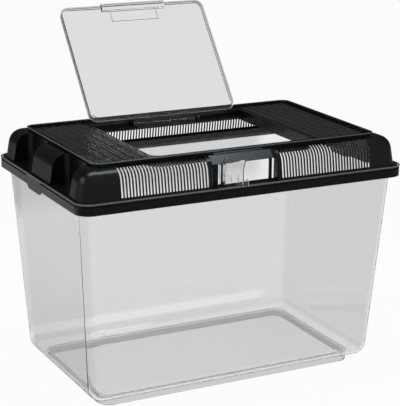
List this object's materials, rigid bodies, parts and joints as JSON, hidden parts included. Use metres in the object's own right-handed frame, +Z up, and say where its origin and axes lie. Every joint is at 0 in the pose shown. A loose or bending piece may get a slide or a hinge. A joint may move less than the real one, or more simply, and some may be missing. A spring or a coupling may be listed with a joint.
{
  "type": "plastic pet keeper",
  "caption": "Clear tapered plastic tank with a black louvred lift-off lid, a hinged clear top flap and a swinging clear latch.",
  "frame": {"origin": "middle of the underside of the tank's foot", "axes": "+Z up, +X to the keeper's right along its length, -Y towards the front with the latch"},
  "size_m": [0.36, 0.2869, 0.3623],
  "materials": {
    "tank_clear": "clear moulded styrene plastic",
    "lid_black": "semi-gloss black moulded plastic",
    "flap_clear": "clear moulded styrene plastic",
    "latch_clear": "clear moulded styrene plastic",
    "clip_black": "semi-gloss black moulded plastic"
  },
  "bodies": {
    "tank": {"tank": "tank_clear"},
    "lid": {"lid": "lid_black"},
    "flap": {"flap": "flap_clear"},
    "latch": {"latch": "latch_clear"},
    "clip_left": {"clip_left": "clip_black"},
    "clip_right": {"clip_right": "clip_black"}
  },
  "joints": [
    {"name": "lid_lift", "type": "slide", "parent": "tank", "child": "lid", "axis": [0, 0, 1], "range_m": [0, 0.08]},
    {"name": "flap_hinge", "type": "hinge", "parent": "lid", "child": "flap", "pos_m": [-0.0021, 0.0732, 0.2452], "axis": [1, 0, 0], "range_deg": [0, 128.5]},
    {"name": "latch_swing", "type": "hinge", "parent": "lid", "child": "latch", "pos_m": [-0.0255, -0.1001, 0.2301], "axis": [0, 0, 1], "range_deg": [-30, 52]},
    {"name": "clip_left_flex", "type": "hinge", "parent": "lid", "child": "clip_left", "pos_m": [-0.177, 0.0064, 0.2179], "axis": [0, 1, 0], "range_deg": [0, 12], "stiffness_Nm_per_rad": 0.2},
    {"name": "clip_right_flex", "type": "hinge", "parent": "lid", "child": "clip_right", "pos_m": [0.177, 0.0064, 0.2179], "axis": [0, -1, 0], "range_deg": [0, 12], "stiffness_Nm_per_rad": 0.2}
  ]
}
